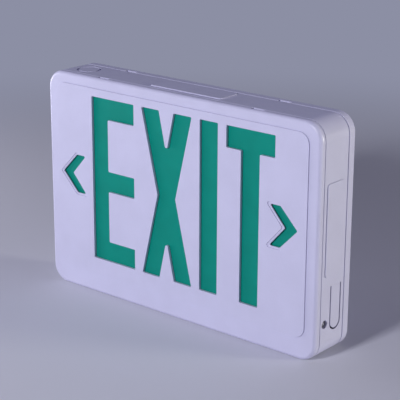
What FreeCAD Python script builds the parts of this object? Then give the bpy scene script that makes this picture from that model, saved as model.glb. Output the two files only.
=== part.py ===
import FreeCAD, Part
import math
import os

from FreeCAD import Vector

# Emergency exit light: single-face thermoplastic sign, stencil cover over a
# green panel, battery back-up inside.  Millimetres, +Z up, the legend faces
# -Y, origin under the middle of the housing.

# ---- housing -------------------------------------------------------------
WIDTH = 305.0
HEIGHT = 204.0
DEPTH = 48.5
CORNER_R = 16.5
Y_PANEL = -DEPTH / 2.0              # raised legend panel, the front-most face
PANEL_PROUD = 1.0
PANEL_EDGE_R = 0.12
Y_FACE = Y_PANEL + PANEL_PROUD
Y_BACK = DEPTH / 2.0
FACE_FILLET = 3.3
BACK_FILLET = 2.0
COVER_WALL = 2.3
FACE_WALL = 2.4                     # thickness behind the raised panel
FACE_INNER_Y = Y_PANEL + FACE_WALL
FRAME_WALL = 2.5
SEAM_FRONT = -17.4                  # middle of the front parting groove
SEAM_BACK = 15.05                   # middle of the rear parting groove
SEAM_FRONT_HALF = 0.4
SEAM_BACK_HALF = 0.6
SEAM_DEPTH = 1.0
RIM_EDGE_R = 0.35                   # rounded edge behind each groove
FRONT_RIM = SEAM_FRONT - SEAM_FRONT_HALF    # where front cover and frame meet
BACK_RIM = SEAM_BACK + SEAM_BACK_HALF       # where back cover and frame meet
TONGUE_GAP = 0.25
TONGUE_WALL = 1.2
TONGUE_LONG = 2.0
LEDGE_LONG = 4.25                   # thick ring the snap hooks hold behind

# ---- legend ----------------------------------------------------------------
LETTER_H = 152.4
STROKE = 19.05                      # level strokes
STEM = 19.6                         # upright strokes
LEGEND_Z = 34.7
LEGEND_MID = LEGEND_Z + LETTER_H / 2.0
E_LEFT = -96.9
E_WIDTH = 50.9
X_MID = -8.35
X_HALF = 28.65
X_STROKE = 20.25
X_WAIST = 10.3
X_NOTCH_Z = 44.4
X_NOTCH_HALF = 1.2
I_LEFT = 29.2
T_LEFT = 57.8
T_WIDTH = 50.6
LETTER_R = 1.0
CHEVRON_MID = -1.5                  # the pair is centred a little left
CHEVRON_TIP = 133.45
CHEVRON_OUTER = 115.9
CHEVRON_INNER = 104.75
CHEVRON_NOTCH = 120.85
CHEVRON_HALF = 18.0
CHEVRON_Z = 111.1
CHEVRON_R = 1.1
LEDGE_WIDE = 1.8                    # sunk rim round each chevron
LEDGE_DEPTH = 0.6
LEDGE_R = 2.0                       # corner radius of the sunk rim
CHEVRON_WEB = 1.0                   # knock-out web left under the sunk rim
POCKET_WIDE = 1.6                   # relief behind the web, beyond the opening
PANEL_HALF = 141.2
PANEL_BOTTOM = 19.5
PANEL_TOP = 194.3
PANEL_R = 10.0

# ---- sheets behind the stencil ----------------------------------------------
RIB_HIGH = 0.5
RIB_WIDE = 1.6
RIB_HALF = 139.2
RIB_BOTTOM = 26.5
RIB_TOP = 192.5
RIB_R = 8.0
GREEN_THICK = 1.2
DIFFUSER_THICK = 1.5
SHEET_HALF = 144.0
SHEET_BOTTOM = 20.5
SHEET_TOP = 197.9
SHEET_R = 9.0
Y_GREEN = FACE_INNER_Y + RIB_HIGH
Y_DIFFUSER = Y_GREEN + GREEN_THICK
Y_SHEETS_BACK = Y_DIFFUSER + DIFFUSER_THICK
STAKE_R = 1.5
STAKE_CLEAR = 0.1
STAKE_HEAD_R = 2.6
STAKE_HEAD_H = 1.0
STAKES = [(-141.0, 32.0), (-141.0, 109.0), (-141.0, 186.0),
          (141.0, 32.0), (141.0, 109.0), (141.0, 186.0),
          (-60.0, 195.2), (60.0, 195.2), (-60.0, 23.4), (60.0, 23.4)]

# ---- snap hooks and pry slots -------------------------------------------------
HOOK_OFFSET = 3.95                  # hook arm outside face from the outline
HOOK_THICK = 1.6
HOOK_WIDE = 11.0
HOOK_X = 86.4
HOOK_SIDE_Z = 172.0
NOSE_OUT = 1.1
NOSE_LONG = 2.2
NOSE_GAP = 0.2
PRY_WIDE = 12.5
PRY_LONG = 3.05
PRY_DEEP = 1.3

# ---- frame features -------------------------------------------------------------
PAD_LONG = 79.5
PAD_WIDE = 23.6
PAD_PROUD = 0.8
PAD_EDGE_R = 0.12
PAD_R = 3.0
PAD_Y = -1.4
TOP_PAD_X = 2.8
SIDE_PAD_Z = 112.45
KNOCK_X = -121.8
KNOCK_R = 11.1
KNOCK_GROOVE = 1.6
KNOCK_DEEP = 1.3
LAMP_Y = -11.05
LAMP_Z = 31.8
LAMP_HOLE_R = 3.5

# ---- push-to-test tab ---------------------------------------------------------
TAB_Y = 3.25
TAB_HALF = 6.1
SLIT = 1.5
TAB_LOW_Z = 31.3                    # centre of the round end
TAB_ROOT_Z = 63.4
TAB_THICK = 2.0
HINGE_GAP = 0.05
HINGE_RELIEF = 0.35
PEG_R = 2.2
PEG_Z = 32.0

# ---- side board: test switch and charge lamp -----------------------------------
SIDE_BOARD_X = 137.0
BOARD_THICK = 1.6
SIDE_BOARD_Y0 = -15.0
SIDE_BOARD_Y1 = 10.5
SIDE_BOARD_Z0 = 18.5
SIDE_BOARD_Z1 = 56.0
SIDE_BOSS = [(-9.5, 22.5), (-9.5, 50.5)]
SWITCH_SIDE = 7.0
SWITCH_TALL = 5.2
PLUNGER_R = 1.7
PLUNGER_FIT = 0.05
PLUNGER_HEAD_R = 2.4
PLUNGER_TIP_X = 147.6
PEG_AIR = 0.3
LED_R = 2.5
LED_TIP_X = 151.3
LED_LONG = 8.6
LED_PIN = 1.27                      # half the spacing of the two leads
HOLDER_R = 3.3

# ---- reflector and light bars ----------------------------------------------------
REFLECTOR_Y = -1.2
REFLECTOR_THICK = 1.2
REFLECTOR_HALF = 143.0
REFLECTOR_Z0 = 8.0
REFLECTOR_Z1 = 196.0
REFLECTOR_LIP = 4.0
NOTCH_X = 128.0
NOTCH_Z = 68.0
BAR_LONG = 236.0
BAR_HIGH = 10.0
BAR_THICK = 1.0
BAR_Z = (72.5, 149.5)
CHIP = 5.0
CHIP_TALL = 1.6
CHIPS_PER_BAR = 8
CHIP_STEP = 28.0
BAR_SCREW_X = (-112.0, 0.0, 112.0)
POST_R = 3.6
POSTS = [(-126.0, 24.0), (-126.0, 180.0), (126.0, 180.0), (118.0, 24.0),
         (0.0, 186.0), (0.0, 18.0)]
SCREW_PILOT_R = 1.27
SCREW_HOLE_R = 1.6                  # clearance in what a screw clamps
SCREW_R = 1.25                      # core of the self-tapping thread
BAR_SCREW_R = 0.95
SCREW_HEAD_R = 2.75
SCREW_HEAD_H = 1.7

# ---- back cover -------------------------------------------------------------------
BACK_INNER_Y = Y_BACK - COVER_WALL
BOX_Z = 102.0
WIRE_HOLE_R = 11.1
BOX_SLOT_MID = 42.5
BOX_SLOT_LONG = 12.0
BOX_SLOT_WIDE = 5.0
KEYHOLE_X = 66.0
KEYHOLE_Z = 158.0
KEYHOLE_HEAD_R = 4.6
KEYHOLE_NECK_R = 2.3
KEYHOLE_RISE = 9.0
STIFFENERS_Z = (52.8, 151.2)
STIFFENER_HALF = 50.0
STIFFENER_HIGH = 4.0

# ---- main board -------------------------------------------------------------------
MAIN_X0 = 66.0
MAIN_X1 = 134.0
MAIN_Z0 = 76.0
MAIN_Z1 = 142.0
MAIN_STAND = 4.0
MAIN_INSET = 4.5
Y_MAIN_BACK = BACK_INNER_Y - MAIN_STAND
Y_MAIN = Y_MAIN_BACK - BOARD_THICK

# ---- parts on the main board -------------------------------------------------------
CAPACITORS = [(78.0, 130.0, 5.0, 12.5), (92.0, 131.0, 4.0, 11.0)]   # x, z, radius, height
RELAY_X = (103.0, 122.0)
RELAY_Z = (118.0, 133.0)
RELAY_TALL = 11.5
IC_X = 88.0
IC_Z = 110.0
IC_HALF_WIDE = 3.2
IC_HALF_LONG = 4.8
IC_TALL = 3.4
IC_PITCH = 2.54
IC_PINS = 4                         # on each side
TERMINAL_X = (67.0, 77.5)
TERMINAL_Z = 84.0
TERMINAL_PITCH = 7.5
TERMINAL_WAYS = 3
TERMINAL_TALL = 11.0
TERMINAL_SCREW_X = 72.4
HEADER_LONG = 7.5
HEADER_DEEP = 5.7
HEADER_TALL = 7.0
HEADER_WALL = 0.9
BATTERY_HEADER = (84.0, 79.0)
BAR_HEADER = (104.0, 105.0)
SIDE_HEADER = (118.0, 79.0)
WIRE_STEP = 2.5                     # between the two cores at a plug
WIRE_R = 0.7
PASS_X = 108.0                      # hole in the reflector for the bar lead
PASS_Z = 111.0
PASS_R = 4.0

# ---- transformer ------------------------------------------------------------------
TRAFO_X = 88.0
TRAFO_Z = 46.0
CORE_WIDE = 36.0
CORE_HIGH = 30.0
CORE_STACK = 12.0
CORE_LEG = 6.0
COIL_STACK = 17.0
COIL_AIR = 0.1
TRAFO_STAND = 4.0                   # core and ears off the back wall
STEEL = 1.0
CLAW = 4.0
EAR_SPAN = 48.0
EAR_R = 5.0

# ---- battery ------------------------------------------------------------------------
CELL_R = 7.2
CELL_LONG = 49.5
CELLS = 3
PACK_X = -103.0
PACK_Z = 104.0
WRAP = 0.3
STRAP_THICK = 1.6
STRAP_WIDE = 14.0
STRAP_STAND = 6.0
END_STOP_HIGH = 9.0                 # walls that hold the pack lengthwise
END_STOP_HALF = 9.0


def box(x0, x1, y0, y1, z0, z1):
    """Box from its six faces."""
    return Part.makeBox(x1 - x0, y1 - y0, z1 - z0, Vector(x0, y0, z0))


def rod(x, y, z, r, length, axis=(0, 1, 0)):
    """Cylinder starting at a point."""
    return Part.makeCylinder(r, length, Vector(x, y, z), Vector(*axis))


def rounded_wire(points, radius, y):
    """Closed outline in an XZ plane, every corner rounded by a tangent arc."""
    corners = [Vector(px, y, pz) for px, pz in points]
    count = len(corners)
    starts, mids, ends = [], [], []
    for i in range(count):
        here = corners[i]
        before = (corners[i - 1] - here).normalize()
        after = (corners[(i + 1) % count] - here).normalize()
        half = before.getAngle(after) / 2.0
        cut = radius / math.tan(half)
        inward = (before + after).normalize()
        centre = here + inward * (radius / math.sin(half))
        starts.append(here + before * cut)
        mids.append(centre - inward * radius)
        ends.append(here + after * cut)
    edges = []
    for i in range(count):
        edges.append(Part.Arc(starts[i], mids[i], ends[i]).toShape())
        follow = starts[(i + 1) % count]
        if ends[i].distanceToPoint(follow) > 1e-6:
            edges.append(Part.makeLine(ends[i], follow))
    return Part.Wire(edges)


def plate(points, radius, y0, y1):
    """Outline in XZ extruded from y0 to y1."""
    face = Part.Face(rounded_wire(points, radius, y0))
    return face.extrude(Vector(0, y1 - y0, 0))


def rect(x0, x1, z0, z1):
    return [(x0, z0), (x1, z0), (x1, z1), (x0, z1)]


def housing_block(offset, y0, y1):
    """The housing outline drawn in by an offset, as a solid slab."""
    half = WIDTH / 2.0 - offset
    radius = max(CORNER_R - offset, 1.0)
    return plate(rect(-half, half, offset, HEIGHT - offset), radius, y0, y1)


def ring(outer, inner, y0, y1):
    """A wall following the housing outline between two offsets."""
    return housing_block(outer, y0, y1).cut(housing_block(inner, y0 - 1, y1 + 1))


def edges_at_y(shape, y):
    return [e for e in shape.Edges
            if abs(e.BoundBox.YMin - y) < 1e-4 and abs(e.BoundBox.YMax - y) < 1e-4]


def soften(shape, y, radius):
    """Fillet every edge lying in one Y plane."""
    return shape.makeFillet(radius, edges_at_y(shape, y))


# ---- legend outlines --------------------------------------------------------------
def letter_e():
    x0, x1 = E_LEFT, E_LEFT + E_WIDTH
    inner = x0 + STEM
    z0, z1 = LEGEND_Z, LEGEND_Z + LETTER_H
    low, high = LEGEND_MID - STROKE / 2.0, LEGEND_MID + STROKE / 2.0
    return [(x0, z0), (x1, z0), (x1, z0 + STROKE), (inner, z0 + STROKE),
            (inner, low), (x1, low), (x1, high), (inner, high),
            (inner, z1 - STROKE), (x1, z1 - STROKE), (x1, z1), (x0, z1)]


def letter_x():
    top = LETTER_H / 2.0
    foot = X_HALF - X_STROKE
    right = [(X_WAIST, 0.0), (X_HALF, top), (foot, top), (X_NOTCH_HALF, X_NOTCH_Z)]
    quarter = right + [(-px, pz) for px, pz in reversed(right)]
    lower = [(px, -pz) for px, pz in reversed(quarter[1:-1])]
    outline = quarter + [(px, pz) for px, pz in lower]
    return [(X_MID + px, LEGEND_MID + pz) for px, pz in outline]


def letter_i():
    return rect(I_LEFT, I_LEFT + STEM, LEGEND_Z, LEGEND_Z + LETTER_H)


def letter_t():
    x0, x1 = T_LEFT, T_LEFT + T_WIDTH
    mid = (x0 + x1) / 2.0
    z0, z1 = LEGEND_Z, LEGEND_Z + LETTER_H
    left, right = mid - STEM / 2.0, mid + STEM / 2.0
    return [(left, z0), (right, z0), (right, z1 - STROKE), (x1, z1 - STROKE),
            (x1, z1), (x0, z1), (x0, z1 - STROKE), (left, z1 - STROKE)]


def chevron(side, grow=0.0):
    """Arrow head pointing left (-1) or right (+1), optionally grown outward."""
    slope = CHEVRON_HALF / (CHEVRON_TIP - CHEVRON_OUTER)
    run = grow * math.hypot(1.0, slope) / slope
    tall = CHEVRON_HALF + grow
    shift = grow / slope
    outer = CHEVRON_OUTER + run - shift
    inner = CHEVRON_INNER - run - shift
    points = [(CHEVRON_TIP + run, 0.0), (outer, tall), (inner, tall),
              (CHEVRON_NOTCH - run, 0.0), (inner, -tall), (outer, -tall)]
    return [(CHEVRON_MID + side * px, CHEVRON_Z + pz) for px, pz in points]


# ---- covers ------------------------------------------------------------------------
def hook(x, z, out_x, out_z, root_y, hold_y):
    """Snap hook: arm from root_y, nose caught behind a ledge face at hold_y."""
    way = 1.0 if hold_y > root_y else -1.0
    nose_y = hold_y + way * NOSE_GAP
    end_y = nose_y + way * NOSE_LONG
    half = HOOK_WIDE / 2.0
    profile = [(0.0, root_y), (0.0, nose_y), (NOSE_OUT, nose_y),
               (NOSE_OUT, nose_y + way * 0.6), (-0.4, end_y), (-HOOK_THICK, end_y),
               (-HOOK_THICK, root_y)]
    points = []
    for out, y in profile:
        points.append(Vector(x + out_x * out - out_z * half, y, z + out_z * out - out_x * half))
    points.append(points[0])
    face = Part.Face(Part.makePolygon(points))
    return face.extrude(Vector(out_z * HOOK_WIDE, 0, out_x * HOOK_WIDE))


def hooks(root_y, hold_y):
    """Six hooks: two along the top, two along the bottom, one at each end."""
    side_x = WIDTH / 2.0 - HOOK_OFFSET
    parts = []
    for x in (-HOOK_X, HOOK_X):
        parts.append(hook(x, HEIGHT - HOOK_OFFSET, 0, 1, root_y, hold_y))
        parts.append(hook(x, HOOK_OFFSET, 0, -1, root_y, hold_y))
    parts.append(hook(side_x, HOOK_SIDE_Z, 1, 0, root_y, hold_y))
    parts.append(hook(-side_x, HOOK_SIDE_Z, -1, 0, root_y, hold_y))
    return parts


def pry_slots(y0, y1):
    """Screwdriver slots in the top edge of a cover."""
    half = PRY_WIDE / 2.0
    floor = HEIGHT - PRY_DEEP
    return [box(x - half, x + half, y0, y1, floor, HEIGHT + 1) for x in (-HOOK_X, HOOK_X)]


def stop_rib():
    """Low rib round the legend that the green panel lies on."""
    outside = rect(-RIB_HALF, RIB_HALF, RIB_BOTTOM, RIB_TOP)
    inside = rect(-RIB_HALF + RIB_WIDE, RIB_HALF - RIB_WIDE, RIB_BOTTOM + RIB_WIDE,
                  RIB_TOP - RIB_WIDE)
    rib = plate(outside, RIB_R, FACE_INNER_Y - 0.5, Y_GREEN)
    return rib.cut(plate(inside, RIB_R - RIB_WIDE, FACE_INNER_Y - 1, Y_GREEN + 1))


def front_cover():
    shell = soften(housing_block(0.0, Y_FACE, FRONT_RIM), Y_FACE, FACE_FILLET)
    hollow = soften(housing_block(COVER_WALL, FACE_INNER_Y, FRONT_RIM + 1), FACE_INNER_Y, 1.8)
    shell = shell.cut(hollow)
    panel = plate(rect(-PANEL_HALF, PANEL_HALF, PANEL_BOTTOM, PANEL_TOP), PANEL_R,
                  Y_PANEL, Y_FACE + 0.5)
    shell = shell.fuse(soften(panel, Y_PANEL, PANEL_EDGE_R))
    openings = []
    for outline in (letter_e(), letter_x(), letter_i(), letter_t()):
        openings.append(plate(outline, LETTER_R, Y_PANEL - 1, FACE_INNER_Y + 1))
    web_y = Y_PANEL + LEDGE_DEPTH + CHEVRON_WEB
    for side in (-1, 1):
        openings.append(plate(chevron(side), CHEVRON_R, Y_PANEL - 1, FACE_INNER_Y + 1))
        openings.append(plate(chevron(side, LEDGE_WIDE), LEDGE_R, Y_PANEL - 1,
                              Y_PANEL + LEDGE_DEPTH))
        openings.append(plate(chevron(side, POCKET_WIDE), CHEVRON_R, web_y, FACE_INNER_Y + 1))
    shell = shell.cut(openings)
    extras = [stop_rib()]
    for x, z in STAKES:
        extras.append(rod(x, FACE_INNER_Y - 0.5, z, STAKE_R, Y_SHEETS_BACK - FACE_INNER_Y + 1.0))
        head = rod(x, Y_SHEETS_BACK, z, STAKE_HEAD_R, STAKE_HEAD_H)
        extras.append(soften(head, Y_SHEETS_BACK + STAKE_HEAD_H, 0.6))
    extras += hooks(FACE_INNER_Y - 0.3, FRONT_RIM + LEDGE_LONG)
    shell = shell.fuse(extras)
    return shell.cut(pry_slots(FRONT_RIM - PRY_LONG, FRONT_RIM + 1)).removeSplitter()


def sheet(y0, y1):
    points = rect(-SHEET_HALF, SHEET_HALF, SHEET_BOTTOM, SHEET_TOP)
    blank = plate(points, SHEET_R, y0, y1)
    holes = [rod(x, y0 - 1, z, STAKE_R + STAKE_CLEAR, y1 - y0 + 2) for x, z in STAKES]
    return blank.cut(holes)


def keyhole(x, z):
    """Round entry below, narrow neck rising to the hanging point."""
    y0 = BACK_INNER_Y - 2
    deep = COVER_WALL + 4
    entry = rod(x, y0, z - KEYHOLE_RISE, KEYHOLE_HEAD_R, deep)
    neck = box(x - KEYHOLE_NECK_R, x + KEYHOLE_NECK_R, y0, y0 + deep, z - KEYHOLE_RISE, z)
    return [entry, neck, rod(x, y0, z, KEYHOLE_NECK_R, deep)]


def box_slot(x, z, along_x):
    """Rounded screw slot for an outlet box."""
    half = BOX_SLOT_LONG / 2.0
    wide = BOX_SLOT_WIDE / 2.0
    dx, dz = (half, wide) if along_x else (wide, half)
    return plate(rect(x - dx, x + dx, z - dz, z + dz), wide - 0.01, BACK_INNER_Y - 2, Y_BACK + 2)


def boss(x, z, r, y_top, pilot=SCREW_PILOT_R, pilot_deep=9.0):
    """Screw post standing forward from the back wall, with a gusset collar."""
    post = rod(x, y_top, z, r, BACK_INNER_Y - y_top + 0.5)
    collar = Part.makeCone(r, r + 1.5, 2.0, Vector(x, BACK_INNER_Y - 2.0, z), Vector(0, 1, 0))
    return post.fuse(collar).cut(rod(x, y_top - 1, z, pilot, pilot_deep + 1))


def main_board_corners():
    xs = (MAIN_X0 + MAIN_INSET, MAIN_X1 - MAIN_INSET)
    zs = (MAIN_Z0 + MAIN_INSET, MAIN_Z1 - MAIN_INSET)
    return [(x, z) for x in xs for z in zs]


def trafo_ears():
    return [(TRAFO_X - EAR_SPAN / 2.0, TRAFO_Z), (TRAFO_X + EAR_SPAN / 2.0, TRAFO_Z)]


def strap_feet():
    reach = CELLS * CELL_R + 7.0
    return [(PACK_X, PACK_Z - reach), (PACK_X, PACK_Z + reach)]


def back_cover():
    shell = soften(housing_block(0.0, BACK_RIM, Y_BACK), Y_BACK, BACK_FILLET)
    shell = soften(shell, BACK_RIM, RIM_EDGE_R)
    hollow = soften(housing_block(COVER_WALL, BACK_RIM - 1, BACK_INNER_Y), BACK_INNER_Y, 1.5)
    shell = shell.cut(hollow)
    extras = [boss(x, z, POST_R, REFLECTOR_Y + REFLECTOR_THICK) for x, z in POSTS]
    extras += [boss(x, z, 3.0, Y_MAIN_BACK, pilot_deep=4.5) for x, z in main_board_corners()]
    extras += [boss(x, z, 3.4, BACK_INNER_Y - TRAFO_STAND + STEEL, pilot_deep=3.8) for x, z in trafo_ears()]
    extras += [boss(x, z, 3.4, BACK_INNER_Y - STRAP_STAND, pilot_deep=6.5) for x, z in strap_feet()]
    collar = rod(0, BACK_INNER_Y - 3.0, BOX_Z, WIRE_HOLE_R + 2.0, 3.5)
    extras.append(collar)
    half = CELL_LONG / 2.0 + WRAP
    for side in (-1, 1):
        x = PACK_X + side * (half + 1.2)
        extras.append(box(x - 0.8, x + 0.8, BACK_INNER_Y - END_STOP_HIGH, BACK_INNER_Y + 0.5,
                          PACK_Z - END_STOP_HALF, PACK_Z + END_STOP_HALF))
    for z in STIFFENERS_Z:
        extras.append(box(-STIFFENER_HALF, STIFFENER_HALF, BACK_INNER_Y - STIFFENER_HIGH,
                          BACK_INNER_Y + 0.5, z - RIB_WIDE / 2, z + RIB_WIDE / 2))
    extras += hooks(BACK_INNER_Y + 0.3, BACK_RIM - LEDGE_LONG)
    shell = shell.fuse(extras)
    cuts = [rod(0, BACK_INNER_Y - 5, BOX_Z, WIRE_HOLE_R, COVER_WALL + 8)]
    for side in (-1, 1):
        cuts.append(box_slot(side * BOX_SLOT_MID, BOX_Z, True))
        cuts.append(box_slot(0, BOX_Z + side * BOX_SLOT_MID, False))
        cuts += keyhole(side * KEYHOLE_X, KEYHOLE_Z)
    cuts += pry_slots(BACK_RIM - 1, BACK_RIM + PRY_LONG)
    return shell.cut(cuts).removeSplitter()


# ---- frame --------------------------------------------------------------------------
def tab_outline(grow, top):
    """Stadium half: straight sides, round lower end, flat top (Y,Z plane)."""
    half = TAB_HALF + grow
    left = Vector(0, TAB_Y - half, TAB_LOW_Z)
    right = Vector(0, TAB_Y + half, TAB_LOW_Z)
    low = Vector(0, TAB_Y, TAB_LOW_Z - half)
    top_left = Vector(0, TAB_Y - half, top)
    top_right = Vector(0, TAB_Y + half, top)
    return Part.Wire([Part.Arc(left, low, right).toShape(), Part.makeLine(right, top_right),
                      Part.makeLine(top_right, top_left), Part.makeLine(top_left, left)])


def tab_slab(grow, top, x0, x1):
    face = Part.Face(tab_outline(grow, top))
    face.translate(Vector(x0, 0, 0))
    return face.extrude(Vector(x1 - x0, 0, 0))


def pad_block(long, wide):
    """Canopy seat lying in XY, its top edge softened, foot sunk in the wall."""
    face = Part.Face(rounded_wire([(-long / 2, -wide / 2), (long / 2, -wide / 2),
                                   (long / 2, wide / 2), (-long / 2, wide / 2)], PAD_R, 0.0))
    slab = face.extrude(Vector(0, -(PAD_PROUD + 1.0), 0))
    slab = soften(slab, -(PAD_PROUD + 1.0), PAD_EDGE_R)
    slab.rotate(Vector(0, 0, 0), Vector(1, 0, 0), -90.0)
    slab.translate(Vector(0, 0, -1.0))
    return slab


def pads():
    top = pad_block(PAD_LONG, PAD_WIDE)
    top.translate(Vector(TOP_PAD_X, PAD_Y, HEIGHT))
    parts = [top]
    for side in (-1, 1):
        end = pad_block(PAD_LONG, PAD_WIDE)
        end.rotate(Vector(0, 0, 0), Vector(0, 1, 0), 90.0 * side)
        end.translate(Vector(side * WIDTH / 2.0, PAD_Y, SIDE_PAD_Z))
        parts.append(end)
    return parts


def housing_frame():
    y0, y1 = SEAM_FRONT + SEAM_FRONT_HALF, SEAM_BACK - SEAM_BACK_HALF
    wall = soften(housing_block(0.0, y0, y1), y0, RIM_EDGE_R)
    wall = wall.cut(housing_block(FRAME_WALL, y0 - 1, y1 + 1))
    extras = [ring(SEAM_DEPTH, FRAME_WALL, FRONT_RIM, BACK_RIM)]
    tongue = COVER_WALL + TONGUE_GAP
    inner = tongue + TONGUE_WALL
    extras.append(ring(SEAM_DEPTH + 0.2, inner, FRONT_RIM, FRONT_RIM + LEDGE_LONG))
    extras.append(ring(SEAM_DEPTH + 0.2, inner, BACK_RIM - LEDGE_LONG, BACK_RIM))
    extras.append(ring(tongue, inner, FRONT_RIM - TONGUE_LONG, FRONT_RIM + 0.5))
    extras.append(ring(tongue, inner, BACK_RIM - 0.5, BACK_RIM + TONGUE_LONG))
    extras += pads()
    right = WIDTH / 2.0
    for y, z in SIDE_BOSS:
        x0 = SIDE_BOARD_X + BOARD_THICK
        extras.append(rod(x0, y, z, 3.2, right - 1.0 - x0, (1, 0, 0)))
    frame = wall.fuse(extras)
    cuts = [rod(right - 4, LAMP_Y, LAMP_Z, LAMP_HOLE_R, 6, (1, 0, 0))]
    cuts.append(tab_slab(SLIT, TAB_ROOT_Z, right - 5, right + 1))
    deep = HEIGHT - KNOCK_DEEP
    groove = rod(KNOCK_X, PAD_Y, deep, KNOCK_R, KNOCK_DEEP + 1, (0, 0, 1))
    groove = groove.cut(rod(KNOCK_X, PAD_Y, deep - 1, KNOCK_R - KNOCK_GROOVE, 5, (0, 0, 1)))
    cuts.append(groove)
    for y, z in SIDE_BOSS:
        cuts.append(rod(SIDE_BOARD_X, y, z, SCREW_PILOT_R, 9.5, (1, 0, 0)))
    cuts.append(Part.makeCone(LAMP_HOLE_R, LAMP_HOLE_R + 0.4, 0.4,
                              Vector(right - 0.4, LAMP_Y, LAMP_Z), Vector(1, 0, 0)))
    return frame.cut(cuts).removeSplitter()


def test_tab():
    """Push-to-test tongue, flush outside, hinged along its upper edge."""
    right = WIDTH / 2.0
    top = TAB_ROOT_Z - HINGE_GAP
    tongue = tab_slab(0.0, top, right - TAB_THICK, right)
    relief = Part.makePolygon([Vector(right - 0.1, 0, top), Vector(right - 4, 0, top + 0.1),
                               Vector(right - 4, 0, top - 4 * HINGE_RELIEF),
                               Vector(right - 0.1, 0, top)])
    wedge = Part.Face(relief).extrude(Vector(0, 30, 0))
    wedge.translate(Vector(0, TAB_Y - 15, 0))
    tip = PLUNGER_TIP_X + PEG_AIR
    peg = rod(tip, TAB_Y, PEG_Z, PEG_R, right - 1.0 - tip, (1, 0, 0))
    spine = box(right - TAB_THICK - 1.2, right - 1.0, TAB_Y - 0.8, TAB_Y + 0.8,
                PEG_Z, TAB_ROOT_Z - 6.0)
    return tongue.fuse([peg, spine]).cut(wedge).removeSplitter()


# ---- side board ----------------------------------------------------------------------
def side_board():
    x1 = SIDE_BOARD_X + BOARD_THICK
    board = box(SIDE_BOARD_X, x1, SIDE_BOARD_Y0, SIDE_BOARD_Y1, SIDE_BOARD_Z0, SIDE_BOARD_Z1)
    cuts = [rod(SIDE_BOARD_X - 1, y, z, SCREW_HOLE_R, 4, (1, 0, 0)) for y, z in SIDE_BOSS]
    for dy in (-LED_PIN, LED_PIN):
        cuts.append(box(SIDE_BOARD_X - 1, x1 + 1, LAMP_Y + dy - 0.4, LAMP_Y + dy + 0.4,
                        LAMP_Z - 0.4, LAMP_Z + 0.4))
    return board.cut(cuts)


def switch_body():
    x0 = SIDE_BOARD_X + BOARD_THICK
    half = SWITCH_SIDE / 2.0
    pin = half - 0.9
    case = box(x0, x0 + SWITCH_TALL, TAB_Y - half, TAB_Y + half, PEG_Z - half, PEG_Z + half)
    bore = rod(x0 + 0.6, TAB_Y, PEG_Z, PLUNGER_R + PLUNGER_FIT, SWITCH_TALL, (1, 0, 0))
    foot = rod(x0 + 0.6, TAB_Y, PEG_Z, PLUNGER_HEAD_R + 0.3, 3.4, (1, 0, 0))
    corners = []
    for dy in (-1, 1):
        for dz in (-1, 1):
            corners.append(rod(x0 + SWITCH_TALL - 0.3, TAB_Y + dy * pin, PEG_Z + dz * pin,
                               0.6, 0.5, (1, 0, 0)))
    return case.cut([bore, foot]).fuse(corners).removeSplitter()


def switch_plunger():
    """Stem with a captive foot inside the switch and a cap the tab peg meets."""
    foot_x = SIDE_BOARD_X + BOARD_THICK + 2.9
    stem = rod(foot_x, TAB_Y, PEG_Z, PLUNGER_R, PLUNGER_TIP_X - foot_x, (1, 0, 0))
    foot = rod(foot_x, TAB_Y, PEG_Z, PLUNGER_HEAD_R, 0.8, (1, 0, 0))
    return stem.fuse(foot).removeSplitter()


def lamp_led():
    """Five-millimetre indicator: flanged body, domed end, two leads."""
    x0 = LED_TIP_X - LED_LONG
    body = rod(x0, LAMP_Y, LAMP_Z, LED_R, LED_LONG - LED_R, (1, 0, 0))
    dome = Part.makeSphere(LED_R, Vector(LED_TIP_X - LED_R, LAMP_Y, LAMP_Z))
    flange = rod(x0, LAMP_Y, LAMP_Z, LED_R + 0.4, 1.0, (1, 0, 0))
    leads = []
    for dy in (-LED_PIN, LED_PIN):
        leads.append(box(SIDE_BOARD_X - 1.2, x0 + 1.0, LAMP_Y + dy - 0.25, LAMP_Y + dy + 0.25,
                         LAMP_Z - 0.25, LAMP_Z + 0.25))
    return body.fuse([dome, flange] + leads).removeSplitter()


def lamp_holder():
    """Dark sleeve that stands the lamp off its board and shades it in the hole."""
    x0 = SIDE_BOARD_X + BOARD_THICK
    x_flange = LED_TIP_X - LED_LONG
    end = WIDTH / 2.0 - FRAME_WALL + 0.6
    sleeve = rod(x0, LAMP_Y, LAMP_Z, HOLDER_R, end - x0, (1, 0, 0))
    bore = rod(x_flange + 1.0, LAMP_Y, LAMP_Z, LED_R + 0.05, 20, (1, 0, 0))
    seat = rod(x_flange, LAMP_Y, LAMP_Z, LED_R + 0.45, 1.0, (1, 0, 0))
    slot = box(x0 - 1, x_flange + 0.1, LAMP_Y - 1.8, LAMP_Y + 1.8, LAMP_Z - 0.6, LAMP_Z + 0.6)
    return sleeve.cut([bore, seat, slot])


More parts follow.
